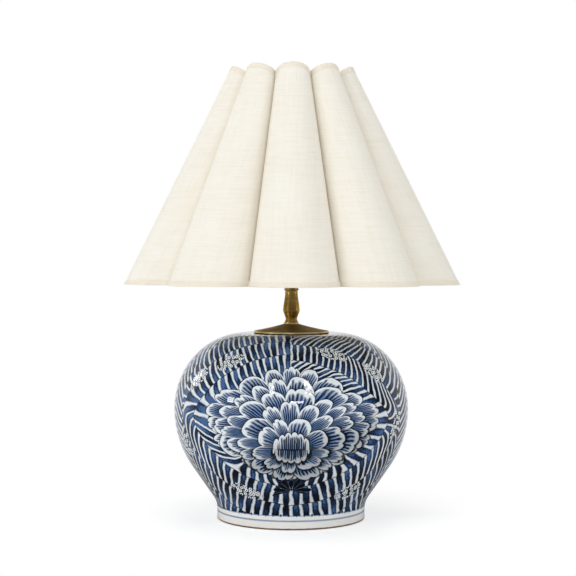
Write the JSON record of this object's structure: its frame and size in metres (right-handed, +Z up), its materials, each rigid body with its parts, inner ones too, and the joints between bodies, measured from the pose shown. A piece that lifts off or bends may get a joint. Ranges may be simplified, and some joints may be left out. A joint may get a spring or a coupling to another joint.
{
  "type": "table lamp",
  "caption": "Table lamp with a squat blue and white ceramic jar, a brass neck and a scalloped conical linen shade on a harp; the shade lifts off and turns, and a side knob switches it.",
  "frame": {"origin": "centre of the jar's foot, on the table", "axes": "+Z up along the lamp's axis, -Y towards the front of the lamp, where the switch knob is"},
  "size_m": [0.392, 0.4068, 0.5367],
  "materials": {
    "painted_glaze": "glossy clear glaze over blue painting",
    "antique_brass": "antiqued, lacquered",
    "bright_brass": "bare",
    "zinc_steel": "zinc plated",
    "black_rubber": "matt",
    "beech": "sanded",
    "grey_felt": "pressed",
    "fibre_board": "waxed",
    "moulded_black": "moulded",
    "white_plastic": "moulded",
    "nickel_cap": "nickelled",
    "opal_glass": "opal",
    "linen": "cream slub linen",
    "linen_tape": "cream linen tape",
    "lining": "white laminate",
    "white_wire": "white powder coat"
  },
  "bodies": {
    "base": {"jar": "painted_glaze", "cord_bush": "black_rubber", "base_gasket": "black_rubber", "base_washer": "zinc_steel", "base_nut": "zinc_steel", "lamp_rod": "zinc_steel", "disc_nut": "zinc_steel", "centring_disc": "beech", "cap_gasket": "grey_felt", "vase_cap": "antique_brass", "seating_ring": "antique_brass", "neck_spindle": "antique_brass", "neck_washer": "zinc_steel", "harp_saddle": "antique_brass", "harp_bow": "antique_brass", "holder_cap": "bright_brass", "set_screw": "zinc_steel", "holder_shell": "bright_brass", "holder_liner": "fibre_board", "holder_body": "moulded_black", "terminal_screws": "bright_brass", "screw_shell": "nickel_cap", "centre_contact": "bright_brass"},
    "switch": {"switch_shaft": "zinc_steel", "switch_knob": "moulded_black"},
    "bulb": {"bulb_contact": "nickel_cap", "bulb_insulator": "moulded_black", "bulb_cap": "nickel_cap", "bulb_collar": "white_plastic", "bulb_glass": "opal_glass"},
    "left_lock": {"left_sleeve": "antique_brass"},
    "right_lock": {"right_sleeve": "antique_brass"},
    "swivel": {"harp_swivel": "antique_brass"},
    "shade": {"shade_linen": "linen", "shade_lining": "lining", "shade_top_binding": "linen_tape", "shade_bottom_binding": "linen_tape", "shade_bottom_ring": "white_wire", "shade_spider": "white_wire"},
    "finial": {"finial": "antique_brass"}
  },
  "joints": [
    {"name": "switch_turn", "type": "hinge", "parent": "base", "child": "switch", "pos_m": [0, -0.0175, 0.3041], "axis": [0, -1, 0], "continuous": true},
    {"name": "bulb_lift", "type": "slide", "parent": "base", "child": "bulb", "axis": [0, 0, 1], "range_m": [0, 0.03]},
    {"name": "left_sleeve_slide", "type": "slide", "parent": "base", "child": "left_lock", "axis": [0, 0, 1], "range_m": [0, 0.018]},
    {"name": "right_sleeve_slide", "type": "slide", "parent": "base", "child": "right_lock", "axis": [0, 0, 1], "range_m": [0, 0.018]},
    {"name": "swivel_turn", "type": "hinge", "parent": "base", "child": "swivel", "pos_m": [0, 0, 0.5072], "axis": [0, 0, 1], "continuous": true},
    {"name": "shade_lift", "type": "slide", "parent": "swivel", "child": "shade", "axis": [0, 0, 1], "range_m": [0, 0.26]},
    {"name": "finial_turn", "type": "hinge", "parent": "shade", "child": "finial", "pos_m": [0, 0, 0.52], "axis": [0, 0, 1], "continuous": true}
  ]
}
